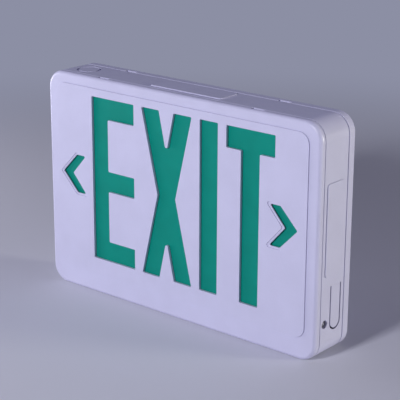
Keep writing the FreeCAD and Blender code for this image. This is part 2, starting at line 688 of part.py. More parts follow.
# ---- reflector and light bars ----------------------------------------------------------
def reflector():
    """White tray: flat web with a forward lip, corner cut away for the side board."""
    y0, y1 = REFLECTOR_Y, REFLECTOR_Y + REFLECTOR_THICK
    half = REFLECTOR_HALF
    outline = [(-half, REFLECTOR_Z0), (NOTCH_X, REFLECTOR_Z0), (NOTCH_X, NOTCH_Z),
               (half, NOTCH_Z), (half, REFLECTOR_Z1), (-half, REFLECTOR_Z1)]
    web = plate(outline, 3.0, y0 - REFLECTOR_LIP, y1)
    t = REFLECTOR_THICK
    inner = [(-half + t, REFLECTOR_Z0 + t), (NOTCH_X - t, REFLECTOR_Z0 + t), (NOTCH_X - t, NOTCH_Z + t),
             (half - t, NOTCH_Z + t), (half - t, REFLECTOR_Z1 - t), (-half + t, REFLECTOR_Z1 - t)]
    tray = web.cut(plate(inner, 2.0, y0 - REFLECTOR_LIP - 1, y0))
    holes = [rod(x, y0 - 1, z, SCREW_HOLE_R, 4) for x, z in POSTS]
    for z in BAR_Z:
        holes += [rod(x, y0 - 1, z, BAR_SCREW_R + 0.02, 4) for x in BAR_SCREW_X]
    holes.append(rod(PASS_X, y0 - 1, PASS_Z, PASS_R, 4))
    return tray.cut(holes)


def light_bar(z):
    y1 = REFLECTOR_Y
    bar = box(-BAR_LONG / 2, BAR_LONG / 2, y1 - BAR_THICK, y1, z - BAR_HIGH / 2, z + BAR_HIGH / 2)
    return bar.cut([rod(x, y1 - 3, z, 1.3, 5) for x in BAR_SCREW_X])


def light_chips(z):
    """Surface-mount emitters: white case with a shallow lens dish."""
    y1 = REFLECTOR_Y - BAR_THICK
    chips = []
    for i in range(CHIPS_PER_BAR):
        x = (i - (CHIPS_PER_BAR - 1) / 2.0) * CHIP_STEP
        case = box(x - CHIP / 2, x + CHIP / 2, y1 - CHIP_TALL, y1, z - CHIP / 2, z + CHIP / 2)
        dish = Part.makeCone(2.1, 1.6, 0.5, Vector(x, y1 - CHIP_TALL, z), Vector(0, 1, 0))
        chips.append(case.cut(dish))
    return Part.makeCompound(chips)


def screw(x, y, z, length, axis, r=SCREW_R, head_r=SCREW_HEAD_R, head_h=SCREW_HEAD_H):
    """Pan-head self-tapping screw; y is the clamped face, axis the driving way."""
    way = Vector(*axis)
    seat = Vector(x, y, z)
    shank = Part.makeCylinder(r, length - r, seat, way)
    point = Part.makeCone(r, 0.3, r, seat + way * (length - r), way)
    head = Part.makeCylinder(head_r, head_h, seat - way * head_h, way)
    crown = [e for e in head.Edges if e.CenterOfMass.distanceToPoint(seat - way * head_h) < 1e-6]
    head = head.makeFillet(0.7, crown)
    arm = head_r * 0.62
    top = seat - way * (head_h + 0.1)
    bars = []
    for turn in (0.0, 90.0):
        bar = Part.makeBox(2 * arm, 0.8, 1.1, Vector(-arm, -0.4, 0.0))
        bar.rotate(Vector(0, 0, 0), Vector(0, 0, 1), turn)
        bars.append(bar)
    cross = bars[0].fuse(bars[1])
    cross.Placement = FreeCAD.Placement(top, FreeCAD.Rotation(Vector(0, 0, 1), way))
    return head.fuse([shank, point]).cut(cross).removeSplitter()


def reflector_screws():
    return Part.makeCompound([screw(x, REFLECTOR_Y, z, 8.0, (0, 1, 0)) for x, z in POSTS])


def bar_screws():
    parts = []
    for z in BAR_Z:
        for x in BAR_SCREW_X:
            parts.append(screw(x, REFLECTOR_Y - BAR_THICK, z, 3.6, (0, 1, 0), BAR_SCREW_R, 2.2, 1.4))
    return Part.makeCompound(parts)


# ---- main board -----------------------------------------------------------------------
def main_board():
    board = plate(rect(MAIN_X0, MAIN_X1, MAIN_Z0, MAIN_Z1), 2.0, Y_MAIN, Y_MAIN_BACK)
    return board.cut([rod(x, Y_MAIN - 1, z, SCREW_HOLE_R, 4) for x, z in main_board_corners()])


def board_screws():
    parts = [screw(x, Y_MAIN, z, 5.4, (0, 1, 0)) for x, z in main_board_corners()]
    x0 = SIDE_BOARD_X
    for y, z in SIDE_BOSS:
        parts.append(screw(x0, y, z, 6.5, (1, 0, 0)))
    return Part.makeCompound(parts)


def capacitors():
    """Two radial electrolytics with a crimp groove and a scored top."""
    parts = []
    for x, z, r, tall in CAPACITORS:
        can = rod(x, Y_MAIN - tall, z, r, tall)
        can = soften(can, Y_MAIN - tall, 0.6)
        groove = Part.makeTorus(r + 0.25, 0.7, Vector(x, Y_MAIN - 2.0, z), Vector(0, 1, 0))
        score = box(x - r * 0.7, x + r * 0.7, Y_MAIN - tall - 0.1, Y_MAIN - tall + 0.25,
                    z - 0.2, z + 0.2)
        parts.append(can.cut([groove, score]))
    return Part.makeCompound(parts)


def relay():
    case = box(*RELAY_X, Y_MAIN - RELAY_TALL, Y_MAIN, *RELAY_Z)
    upright = [e for e in case.Edges if abs(e.Length - RELAY_TALL) < 1e-3]
    return case.makeFillet(0.8, upright)


def control_chip():
    """Eight-lead package with gull-wing legs."""
    body = box(IC_X - IC_HALF_WIDE, IC_X + IC_HALF_WIDE, Y_MAIN - IC_TALL, Y_MAIN - 0.4,
               IC_Z - IC_HALF_LONG, IC_Z + IC_HALF_LONG)
    dimple = rod(IC_X - 2.0, Y_MAIN - IC_TALL - 0.1, IC_Z + 3.6, 0.5, 0.4)
    knee = IC_HALF_WIDE + 1.2
    legs = []
    for side in (-1, 1):
        for i in range(IC_PINS):
            z = IC_Z + (i - (IC_PINS - 1) / 2.0) * IC_PITCH
            xa, xb = sorted((IC_X + side * (IC_HALF_WIDE - 0.2), IC_X + side * knee))
            legs.append(box(xa, xb, Y_MAIN - 2.2, Y_MAIN - 1.9, z - 0.35, z + 0.35))
            xa, xb = sorted((IC_X + side * (knee - 0.3), IC_X + side * knee))
            legs.append(box(xa, xb, Y_MAIN - 2.2, Y_MAIN, z - 0.35, z + 0.35))
    return body.cut(dimple).fuse(legs).removeSplitter()


def terminal_ways():
    return [TERMINAL_Z + (i + 0.5) * TERMINAL_PITCH for i in range(TERMINAL_WAYS)]


def terminal_block():
    """Three-way supply inlet: wire mouths toward the middle, screws in front."""
    x0, x1 = TERMINAL_X
    top = TERMINAL_Z + TERMINAL_WAYS * TERMINAL_PITCH
    block = box(x0, x1, Y_MAIN - TERMINAL_TALL, Y_MAIN, TERMINAL_Z, top)
    cuts = []
    for z in terminal_ways():
        cuts.append(box(x0 - 1, x0 + 6.5, Y_MAIN - 6.0, Y_MAIN - 1.6, z - 2.4, z + 2.4))
        cuts.append(rod(TERMINAL_SCREW_X, Y_MAIN - TERMINAL_TALL - 1, z, 2.2, 5.0))
    return block.cut(cuts)


def terminal_screws():
    parts = []
    for z in terminal_ways():
        stem = rod(TERMINAL_SCREW_X, Y_MAIN - 9.5, z, 1.9, 2.5)
        slot = box(TERMINAL_SCREW_X - 2.4, TERMINAL_SCREW_X + 2.4, Y_MAIN - 9.6, Y_MAIN - 8.9,
                   z - 0.35, z + 0.35)
        parts.append(stem.cut(slot))
    return Part.makeCompound(parts)


def header(x, z):
    """Two-pin shrouded plug, open toward the front."""
    x1, z1 = x + HEADER_LONG, z + HEADER_DEEP
    wall = HEADER_WALL
    shroud = box(x, x1, Y_MAIN - HEADER_TALL, Y_MAIN, z, z1)
    well = box(x + wall, x1 - wall, Y_MAIN - HEADER_TALL - 1, Y_MAIN - 1.2, z + wall, z1 - wall)
    return shroud.cut(well)


def headers():
    return Part.makeCompound([header(x, z) for x, z in (BATTERY_HEADER, BAR_HEADER, SIDE_HEADER)])


# ---- transformer ---------------------------------------------------------------------
def transformer_core():
    """E and I laminations stacked, with two windows the coil passes through."""
    y1 = BACK_INNER_Y - TRAFO_STAND
    y0 = y1 - CORE_STACK
    x0, x1 = TRAFO_X - CORE_WIDE / 2, TRAFO_X + CORE_WIDE / 2
    z0, z1 = TRAFO_Z - CORE_HIGH / 2, TRAFO_Z + CORE_HIGH / 2
    core = box(x0, x1, y0, y1, z0, z1)
    cuts = []
    for side in (-1, 1):
        near = TRAFO_X + side * CORE_LEG
        far = TRAFO_X + side * (CORE_WIDE / 2 - CORE_LEG)
        lo, hi = sorted((near, far))
        cuts.append(box(lo, hi, y0 - 1, y1 + 1, z0 + CORE_LEG, z1 - CORE_LEG))
    return core.cut(cuts)


def coil_half():
    """Half width and half height of the coil inside the core windows."""
    return CORE_WIDE / 2 - CORE_LEG - COIL_AIR, CORE_HIGH / 2 - CORE_LEG - COIL_AIR


def transformer_coil():
    """Bobbin and taped winding round the middle leg."""
    mid = BACK_INNER_Y - TRAFO_STAND - CORE_STACK / 2
    leg_x = CORE_LEG + COIL_AIR
    leg_y = CORE_STACK / 2 + COIL_AIR
    half_x, half_z = coil_half()
    deep = COIL_STACK / 2
    step = 0.8
    flange = 1.0
    body = box(TRAFO_X - half_x + step, TRAFO_X + half_x - step, mid - deep + step,
               mid + deep - step, TRAFO_Z - half_z, TRAFO_Z + half_z)
    ends = []
    for z0 in (TRAFO_Z - half_z, TRAFO_Z + half_z - flange):
        ends.append(box(TRAFO_X - half_x, TRAFO_X + half_x, mid - deep, mid + deep,
                        z0, z0 + flange))
    hole = box(TRAFO_X - leg_x, TRAFO_X + leg_x, mid - leg_y, mid + leg_y,
               TRAFO_Z - half_z - 1, TRAFO_Z + half_z + 1)
    return body.fuse(ends).cut(hole).removeSplitter()


def transformer_bracket():
    """Folded steel frame: cheeks clinched over the core ends, two screw ears."""
    t = STEEL
    seat = BACK_INNER_Y - TRAFO_STAND + t
    x0, x1 = TRAFO_X - CORE_WIDE / 2 - t, TRAFO_X + CORE_WIDE / 2 + t
    z0, z1 = TRAFO_Z - CORE_HIGH / 2 + 2.0, TRAFO_Z + CORE_HIGH / 2 - 2.0
    front = seat - t - CORE_STACK
    base = box(x0, x1, seat - t, seat, z0, z1)
    wide, high = (half + 0.2 for half in coil_half())
    window = box(TRAFO_X - wide, TRAFO_X + wide, seat - 3, seat + 1, TRAFO_Z - high, TRAFO_Z + high)
    folds = [box(x0, x0 + CLAW, front - t, front, z0, z1),
             box(x1 - CLAW, x1, front - t, front, z0, z1)]
    for x in (x0, x1 - t):
        folds.append(box(x, x + t, front - t, seat, z0, z1))
    ears = []
    for x, z in trafo_ears():
        inner = x0 + 0.5 if x < TRAFO_X else x1 - 0.5
        lo, hi = sorted((inner, x))
        ears.append(box(lo, hi, seat - t, seat, z - EAR_R, z + EAR_R))
        ears.append(rod(x, seat - t, z, EAR_R, t))
    holes = [rod(x, seat - 3, z, SCREW_HOLE_R, 6) for x, z in trafo_ears()]
    return base.fuse(folds + ears).cut(holes + [window]).removeSplitter()


def transformer_screws():
    seat = BACK_INNER_Y - TRAFO_STAND
    return Part.makeCompound([screw(x, seat, z, 3.8, (0, 1, 0)) for x, z in trafo_ears()])


# ---- battery -----------------------------------------------------------------------------
def pack_y():
    return BACK_INNER_Y - WRAP - CELL_R - 0.2


def cell_centres():
    return [PACK_Z + (i - (CELLS - 1) / 2.0) * 2 * CELL_R for i in range(CELLS)]


def battery_cells():
    parts = []
    for i, z in enumerate(cell_centres()):
        way = 1 if i % 2 == 0 else -1
        start = PACK_X - way * CELL_LONG / 2.0
        can = rod(start, pack_y(), z, CELL_R - 0.02, CELL_LONG - 1.2, (way, 0, 0))
        nub = rod(start + way * (CELL_LONG - 1.2), pack_y(), z, 2.5, 1.0, (way, 0, 0))
        parts.append(can.fuse(nub).removeSplitter())
    return Part.makeCompound(parts)


def battery_wrap():
    """Shrink sleeve round the cells, turned over at both ends."""
    def stadium(r, x0, x1):
        lo, hi = cell_centres()[0], cell_centres()[-1]
        a = rod(x0, pack_y(), lo, r, x1 - x0, (1, 0, 0))
        b = rod(x0, pack_y(), hi, r, x1 - x0, (1, 0, 0))
        c = box(x0, x1, pack_y() - r, pack_y() + r, lo, hi)
        return a.fuse([b, c]).removeSplitter()
    half = CELL_LONG / 2.0
    skin = stadium(CELL_R + WRAP, PACK_X - half - WRAP, PACK_X + half + WRAP)
    skin = skin.cut(stadium(CELL_R, PACK_X - half, PACK_X + half))
    return skin.cut(stadium(CELL_R - 2.2, PACK_X - half - 5, PACK_X + half + 5))


def battery_strap():
    """Moulded bridge over the pack, screwed down at both feet."""
    t = STRAP_THICK
    half = STRAP_WIDE / 2.0
    foot_y = BACK_INNER_Y - STRAP_STAND
    over = pack_y() - CELL_R - WRAP
    reach = CELLS * CELL_R + WRAP + 0.2
    far = strap_feet()[1][1] - PACK_Z + 4.5
    outer = box(PACK_X - half, PACK_X + half, over - t, foot_y, PACK_Z - reach - t, PACK_Z + reach + t)
    inner = box(PACK_X - half - 1, PACK_X + half + 1, over, foot_y + 1, PACK_Z - reach, PACK_Z + reach)
    feet = box(PACK_X - half, PACK_X + half, foot_y - t, foot_y, PACK_Z - far, PACK_Z + far)
    feet = feet.cut(inner)
    strap = outer.cut(inner).fuse(feet)
    window = rod(PACK_X, over - t - 1, PACK_Z, 4.0, t + 2)
    holes = [rod(x, foot_y - 4, z, SCREW_HOLE_R, 6) for x, z in strap_feet()]
    return strap.cut(holes + [window]).removeSplitter()


def strap_screws():
    seat = BACK_INNER_Y - STRAP_STAND - STRAP_THICK
    return Part.makeCompound([screw(x, seat, z, 7.0, (0, 1, 0)) for x, z in strap_feet()])


# ---- leads: straight runs joined by tangent arcs ---------------------------------------------
def lead(points, r, bend):
    path = []
    stops = [Vector(*p) for p in points]
    here = stops[0]
    for i in range(1, len(stops) - 1):
        corner = stops[i]
        before = (stops[i - 1] - corner).normalize()
        after = (stops[i + 1] - corner).normalize()
        half = before.getAngle(after) / 2.0
        cut = bend / math.tan(half)
        inward = (before + after).normalize()
        centre = corner + inward * (bend / math.sin(half))
        start, end = corner + before * cut, corner + after * cut
        path.append(Part.makeLine(here, start))
        path.append(Part.Arc(start, centre - inward * bend, end).toShape())
        here = end
    path.append(Part.makeLine(here, stops[-1]))
    wire = Part.Wire(path)
    first = (stops[1] - stops[0]).normalize()
    profile = Part.Wire(Part.makeCircle(r, stops[0], first))
    return wire.makePipeShell([profile], True, True)


def socket(x, z):
    """Crimp housing that plugs into a board header."""
    inset = HEADER_WALL + 0.15
    return box(x + inset, x + HEADER_LONG - inset, Y_MAIN - HEADER_TALL - 1.8, Y_MAIN - 1.4,
               z + inset, z + HEADER_DEEP - inset)


def plug_wires(place):
    """Where the two cores leave a plug: (x, z) of each, and how far forward."""
    x, z = place
    mid_x = x + HEADER_LONG / 2
    mid_z = z + HEADER_DEEP / 2
    return (mid_x - WIRE_STEP / 2, mid_x + WIRE_STEP / 2), mid_z, Y_MAIN - HEADER_TALL - 1.0


def battery_lead():
    xs, zc, y_plug = plug_wires(BATTERY_HEADER)
    y_run = 3.4
    end_x = PACK_X + CELL_LONG / 2.0
    cores = []
    for i, xc in enumerate(xs):
        z_cell = cell_centres()[0] + i * 3.0
        turn_x = end_x + 7.0 + 3.0 * i
        run_z = 66.0 + 3.0 * i
        cores.append(lead([(end_x, pack_y(), z_cell), (turn_x, pack_y(), z_cell),
                           (turn_x, pack_y(), run_z), (xc, pack_y(), run_z),
                           (xc, y_run, run_z), (xc, y_run, zc), (xc, y_plug, zc)], WIRE_R, 1.6))
    return socket(*BATTERY_HEADER).fuse(cores)


def bar_lead():
    xs, zc, y_plug = plug_wires(BAR_HEADER)
    y_turn = 4.0
    y_front = REFLECTOR_Y - 3.2
    bar_z = BAR_Z[1] - BAR_HIGH / 2 + 2.0
    cores = []
    for xc in xs:
        cores.append(lead([(xc, y_plug, zc), (xc, y_turn, zc), (xc, y_turn, PASS_Z),
                           (xc, y_front, PASS_Z), (xc, y_front, bar_z),
                           (xc, REFLECTOR_Y - BAR_THICK, bar_z)], WIRE_R, 1.0))
    return socket(*BAR_HEADER).fuse(cores)


def side_lead():
    xs, zc, y_plug = plug_wires(SIDE_HEADER)
    cores = []
    for i, xc in enumerate(xs):
        run_z = 50.0 - 2.6 * i
        y_end = 3.0 + 2.6 * i
        cores.append(lead([(xc, y_plug, zc), (xc, y_end, zc), (xc, y_end, run_z),
                           (SIDE_BOARD_X, y_end, run_z)], WIRE_R, 1.5))
    return socket(*SIDE_HEADER).fuse(cores)


PARTS = {
    "front_cover": front_cover,
    "green_panel": lambda: sheet(Y_GREEN, Y_DIFFUSER),
    "diffuser_sheet": lambda: sheet(Y_DIFFUSER, Y_SHEETS_BACK),
    "housing_frame": housing_frame,
    "back_cover": back_cover,
    "test_tab": test_tab,
    "side_board": side_board,
    "switch_body": switch_body,
    "switch_plunger": switch_plunger,
    "charge_lamp": lamp_led,
    "lamp_holder": lamp_holder,
    "reflector": reflector,
    "light_bar_lower": lambda: light_bar(BAR_Z[0]),
    "light_bar_upper": lambda: light_bar(BAR_Z[1]),
    "emitters_lower": lambda: light_chips(BAR_Z[0]),
    "emitters_upper": lambda: light_chips(BAR_Z[1]),
    "reflector_screws": reflector_screws,
    "bar_screws": bar_screws,
    "main_board": main_board,
    "board_screws": board_screws,
    "capacitors": capacitors,
    "relay": relay,
    "control_chip": control_chip,
    "terminal_block": terminal_block,
    "terminal_screws": terminal_screws,
    "board_headers": headers,
    "transformer_core": transformer_core,
    "transformer_coil": transformer_coil,
    "transformer_bracket": transformer_bracket,
    "transformer_screws": transformer_screws,
    "battery_cells": battery_cells,
    "battery_wrap": battery_wrap,
    "battery_strap": battery_strap,
    "strap_screws": strap_screws,
    "battery_lead": battery_lead,
    "bar_lead": bar_lead,
    "side_lead": side_lead,
}

os.makedirs("parts", exist_ok=True)
for name, make in PARTS.items():
    shape = make()
    shape.exportStep("parts/" + name + ".step")
    print(name, len(shape.Solids), "solids", round(shape.Volume, 1), "mm3",
          "ok" if shape.isValid() else "NOT VALID")
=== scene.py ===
"""Looks of the emergency exit light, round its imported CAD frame.

Metres, +Z up, the legend faces -Y.  The CAD nodes keep their shapes and get
procedural materials; this script adds the stage, the lights and the camera.
"""
import math

import bpy
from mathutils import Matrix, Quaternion, Vector

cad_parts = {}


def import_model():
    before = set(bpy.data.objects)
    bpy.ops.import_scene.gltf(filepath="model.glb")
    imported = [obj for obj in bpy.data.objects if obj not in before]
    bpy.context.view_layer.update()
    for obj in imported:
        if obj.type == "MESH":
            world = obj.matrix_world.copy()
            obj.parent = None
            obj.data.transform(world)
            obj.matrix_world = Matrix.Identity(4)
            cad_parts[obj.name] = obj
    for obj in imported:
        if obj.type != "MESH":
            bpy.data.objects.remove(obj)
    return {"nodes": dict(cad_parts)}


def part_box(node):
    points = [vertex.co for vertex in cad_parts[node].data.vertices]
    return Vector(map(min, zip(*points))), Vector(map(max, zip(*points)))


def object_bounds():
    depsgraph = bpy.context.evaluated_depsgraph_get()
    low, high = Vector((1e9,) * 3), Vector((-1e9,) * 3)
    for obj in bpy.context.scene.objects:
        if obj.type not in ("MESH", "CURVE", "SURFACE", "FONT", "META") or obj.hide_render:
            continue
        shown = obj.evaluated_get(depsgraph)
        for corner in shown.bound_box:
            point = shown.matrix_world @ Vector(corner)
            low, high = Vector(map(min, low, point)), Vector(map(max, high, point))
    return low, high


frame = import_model()
CAD_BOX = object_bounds()
LOW, HIGH = (Vector(corner) for corner in CAD_BOX)
MIDDLE = (LOW + HIGH) / 2


# ---- colours ----------------------------------------------------------------
def srgb(red, green, blue):
    """Linear colour of an 8-bit screen colour."""
    def linear(value):
        value /= 255.0
        return value / 12.92 if value <= 0.04045 else ((value + 0.055) / 1.055) ** 2.4
    return tuple(linear(v) for v in (red, green, blue))


WHITE_ABS = srgb(203, 202, 227)         # pale lavender, as the photo's front shows it: white plastic with the light's blue cast painted in
LEGEND_GREEN = srgb(8, 139, 122)
OPAL = srgb(226, 228, 226)
SOLDER_MASK = srgb(22, 92, 52)
COPPER_UNDER_MASK = srgb(40, 122, 70)
ZINC = srgb(176, 178, 184)
BACKDROP = srgb(140, 143, 164)
EMITTER_CASE = srgb(235, 232, 222)

EDGE_SOFTNESS = 0.0003                  # in shading only: the mesh keeps its edges
CHIP_BODY_HALF = 0.0032                 # the legs stand out beyond this
NOISE_LOW, NOISE_HIGH = 0.3, 0.7        # where nearly all of a noise texture lies


# ---- node building ------------------------------------------------------------
class Finish:
    """One Principled material, patterned in the row frame (object coordinates)."""

    def __init__(self, name, colour, roughness, **sockets):
        self.material = bpy.data.materials.new(name)
        self.material.use_nodes = True
        self.nodes = self.material.node_tree.nodes
        self.links = self.material.node_tree.links
        self.shader = self.nodes["Principled BSDF"]
        self.shader.inputs["Base Color"].default_value = (*colour, 1.0)
        self.shader.inputs["Roughness"].default_value = roughness
        for socket, value in sockets.items():
            self.shader.inputs[socket.replace("_", " ")].default_value = value
        self.place = self.nodes.new("ShaderNodeTexCoord").outputs["Object"]

    def feed(self, socket, value):
        """Link an output into a socket, or set a plain value on it."""
        if isinstance(value, bpy.types.NodeSocket):
            self.links.new(value, socket)
        elif socket.type == "RGBA":
            socket.default_value = (*value, 1.0)
        else:
            socket.default_value = value

    def stretched(self, scale):
        """Coordinates multiplied per axis."""
        node = self.nodes.new("ShaderNodeMapping")
        node.inputs["Scale"].default_value = scale
        self.links.new(self.place, node.inputs["Vector"])
        return node.outputs["Vector"]

    def noise(self, per_metre, detail=2.0, roughness=0.5, place=None):
        node = self.nodes.new("ShaderNodeTexNoise")
        self.links.new(place or self.place, node.inputs["Vector"])
        node.inputs["Scale"].default_value = per_metre
        node.inputs["Detail"].default_value = detail
        node.inputs["Roughness"].default_value = roughness
        return node.outputs["Fac"]

    def cells(self, per_metre, output="Distance", feature="F1", metric="EUCLIDEAN"):
        node = self.nodes.new("ShaderNodeTexVoronoi")
        node.feature = feature
        node.distance = metric
        self.links.new(self.place, node.inputs["Vector"])
        node.inputs["Scale"].default_value = per_metre
        return node.outputs[output]

    def bands(self, per_metre, axis, distortion=0.0, profile="SIN"):
        node = self.nodes.new("ShaderNodeTexWave")
        node.bands_direction = axis
        node.wave_profile = profile
        self.links.new(self.place, node.inputs["Vector"])
        node.inputs["Scale"].default_value = per_metre
        node.inputs["Distortion"].default_value = distortion
        return node.outputs["Fac"]

    def along(self, axis):
        """One coordinate, in metres."""
        node = self.nodes.new("ShaderNodeSeparateXYZ")
        self.links.new(self.place, node.inputs["Vector"])
        return node.outputs[axis]

    def spread(self, value, low, high, to_low=0.0, to_high=1.0):
        """Map a value's range smoothly onto another."""
        node = self.nodes.new("ShaderNodeMapRange")
        node.interpolation_type = "SMOOTHSTEP"
        for socket, number in zip(("Value", "From Min", "From Max", "To Min", "To Max"),
                                  (value, low, high, to_low, to_high)):
            self.feed(node.inputs[socket], number)
        return node.outputs["Result"]

    def wander(self, per_metre, detail, low=0.0, high=1.0):
        """A noise that drifts between two values."""
        return self.spread(self.noise(per_metre, detail), NOISE_LOW, NOISE_HIGH, low, high)

    def maths(self, operation, first, second=0.0):
        node = self.nodes.new("ShaderNodeMath")
        node.operation = operation
        self.feed(node.inputs[0], first)
        self.feed(node.inputs[1], second)
        return node.outputs[0]

    def blend(self, factor, first, second, mode="MIX"):
        node = self.nodes.new("ShaderNodeMix")
        node.data_type = "RGBA"
        node.blend_type = mode
        self.feed(node.inputs[0], factor)
        self.feed(node.inputs[6], first)
        self.feed(node.inputs[7], second)
        return node.outputs[2]

    def colour(self, value):
        self.feed(self.shader.inputs["Base Color"], value)
        return self

    def rough(self, value):
        self.feed(self.shader.inputs["Roughness"], value)
        return self

    def eased(self, radius):
        """Shade sharp edges as if rounded over a radius in metres."""
        node = self.nodes.new("ShaderNodeBevel")
        node.samples = 6
        node.inputs["Radius"].default_value = radius
        self.links.new(node.outputs["Normal"], self.shader.inputs["Normal"])
        return self

    def bump(self, height, depth, strength=1.0):
        """Relief of a height that runs 0 to 1 over a depth in metres."""
        node = self.nodes.new("ShaderNodeBump")
        node.inputs["Strength"].default_value = strength
        node.inputs["Distance"].default_value = depth
        self.feed(node.inputs["Height"], height)
        under = self.shader.inputs["Normal"]
        if under.is_linked:
            self.links.new(under.links[0].from_socket, node.inputs["Normal"])
        self.links.new(node.outputs["Normal"], under)
        return self


def tinted(colour, factor):
    return tuple(channel * factor for channel in colour)


# ---- finishes -------------------------------------------------------------------
def moulded(name, colour, roughness=0.34, mottle=0.025, grain=0.000004):
    """Injection-moulded plastic: faint flow mottling, fine spark-eroded grain."""
    f = Finish(name, colour, roughness, IOR=1.52, Specular_IOR_Level=0.4)
    cloud = f.noise(38.0, 3.0)
    speck = f.noise(900.0, 2.0)
    tone = f.spread(f.maths("ADD", cloud, f.maths("MULTIPLY", speck, 0.35)), 0.42, 0.95)
    f.colour(f.blend(tone, tinted(colour, 1.0 - mottle), tinted(colour, 1.0 + mottle)))
    f.rough(f.wander(120.0, 3.0, roughness - 0.05, roughness + 0.05))
    return f.eased(EDGE_SOFTNESS).bump(f.noise(2600.0, 1.0), grain, 0.5)


def legend_sheet(name, colour):
    """Screen-coloured acrylic: even, slightly cloudy, soft sheen."""
    f = Finish(name, colour, 0.4, Specular_IOR_Level=0.12)
    cloud = f.wander(55.0, 2.0)
    f.colour(f.blend(cloud, tinted(colour, 0.965), tinted(colour, 1.035)))
    f.rough(f.wander(240.0, 2.0, 0.35, 0.45))
    return f.bump(f.noise(700.0, 2.0), 0.000006, 0.3)


def opal_sheet(name, colour):
    """Milky diffuser: light spreads a little under a satin skin."""
    f = Finish(name, colour, 0.5, IOR=1.49, Subsurface_Weight=0.2, Subsurface_Scale=0.002)
    f.colour(f.blend(f.noise(90.0, 2.0), tinted(colour, 0.97), colour))
    return f.bump(f.noise(1500.0, 2.0), 0.000008, 0.4)


def circuit_board(name):
    """Solder mask over tracks whose run turns from patch to patch."""
    f = Finish(name, SOLDER_MASK, 0.38, IOR=1.55)
    patch = f.cells(140.0, "Color", metric="CHEBYCHEV")
    turn = f.spread(patch, 0.45, 0.55)
    level = f.spread(f.bands(130.0, "Z", profile="TRI"), 0.55, 0.62)
    upright = f.spread(f.bands(130.0, "X", profile="TRI"), 0.55, 0.62)
    runs = f.blend(turn, level, upright)
    edge = f.spread(f.cells(140.0, feature="DISTANCE_TO_EDGE"), 0.0, 0.12)
    tracks = f.maths("MULTIPLY", runs, edge)
    f.colour(f.blend(tracks, SOLDER_MASK, COPPER_UNDER_MASK))
    f.rough(f.wander(300.0, 2.0, 0.32, 0.46))
    return f.bump(tracks, 0.00004, 0.6)


def plated(name, colour=ZINC, roughness=0.32):
    """Passivated zinc or nickel: slight colour drift and fine tumbling marks."""
    f = Finish(name, colour, roughness, Metallic=1.0)
    drift = f.wander(420.0, 3.0)
    f.colour(f.blend(drift, tinted(colour, 0.88), tinted(colour, 1.08)))
    f.rough(f.wander(1400.0, 3.0, roughness - 0.08, roughness + 0.1))
    return f.bump(f.noise(3200.0, 2.0), 0.000012, 0.5)


def laminated(name, colour):
    """Varnished stack: dark gaps between 0.5 mm sheets."""
    f = Finish(name, colour, 0.42, Metallic=0.6)
    sheets = f.spread(f.bands(314.0, "Y", 0.3, "SAW"), 0.0, 0.25)
    rust = f.spread(f.noise(260.0, 4.0), 0.52, 0.72)
    steel = f.blend(rust, colour, srgb(92, 74, 62))
    f.colour(f.blend(sheets, tinted(colour, 0.25), steel))
    return f.bump(sheets, 0.00008, 0.8)


def taped(name, colour):
    """Polyester winding tape: overlapping turns and small wrinkles."""
    f = Finish(name, colour, 0.28, IOR=1.6)
    laps = f.spread(f.bands(40.0, "Z", 0.4, "SAW"), 0.0, 0.1)
    wrinkle = f.noise(500.0, 3.0, place=f.stretched((1.0, 1.0, 0.25)))
    f.colour(f.blend(laps, tinted(colour, 0.72), f.blend(wrinkle, tinted(colour, 0.9), colour)))
    return f.bump(f.maths("ADD", laps, wrinkle), 0.00005, 0.6)


def shrink_sleeve(name, colour):
    """Heat-shrunk PVC: glossy, puckered across the cells."""
    f = Finish(name, colour, 0.22, IOR=1.54, Coat_Weight=0.2)
    pucker = f.noise(170.0, 3.0, place=f.stretched((0.35, 1.0, 1.0)))
    f.colour(f.blend(pucker, tinted(colour, 0.8), tinted(colour, 1.15)))
    f.rough(f.wander(320.0, 2.0, 0.16, 0.3))
    return f.bump(pucker, 0.00012, 0.6)


def insulated(name, colour, tracer):
    """PVC-covered pair: waxy skin, an oblique tracer stripe printed round it."""
    f = Finish(name, colour, 0.4, IOR=1.53)
    stripe = f.spread(f.bands(75.0, "DIAGONAL"), 0.86, 0.93)
    waxy = f.noise(600.0, 2.0)
    skin = f.blend(waxy, tinted(colour, 0.88), colour)
    f.colour(f.blend(stripe, skin, tracer))
    f.rough(f.spread(waxy, NOISE_LOW, NOISE_HIGH, 0.34, 0.46))
    return f.bump(waxy, 0.00001, 0.4)


def emitter_case(name, y_front):
    """White reflective case, yellow phosphor at the bottom of its dish."""
    f = Finish(name, EMITTER_CASE, 0.4)
    deep = f.spread(f.along("Y"), y_front + 0.00025, y_front + 0.0004)
    inside = f.spread(f.along("Y"), y_front + 0.00055, y_front + 0.0007)
    phosphor = f.maths("SUBTRACT", deep, inside)
    grain = f.blend(f.noise(4000.0, 2.0), srgb(232, 186, 40), srgb(246, 214, 84))
    f.colour(f.blend(phosphor, EMITTER_CASE, grain))
    return f.rough(f.wander(900.0, 2.0, 0.3, 0.5))


def sleeved_can(name, y_front):
    """Electrolytic: dark printed sleeve, bare aluminium top with a score."""
    f = Finish(name, srgb(34, 40, 74), 0.3)
    top = f.spread(f.along("Y"), y_front + 0.0002, y_front + 0.0006, 1.0, 0.0)
    sleeve = f.blend(f.noise(220.0, 2.0), srgb(28, 33, 64), srgb(42, 50, 88))
    f.colour(f.blend(top, sleeve, srgb(188, 190, 194)))
    f.feed(f.shader.inputs["Metallic"], top)
    return f.rough(f.wander(700.0, 2.0, 0.24, 0.4))


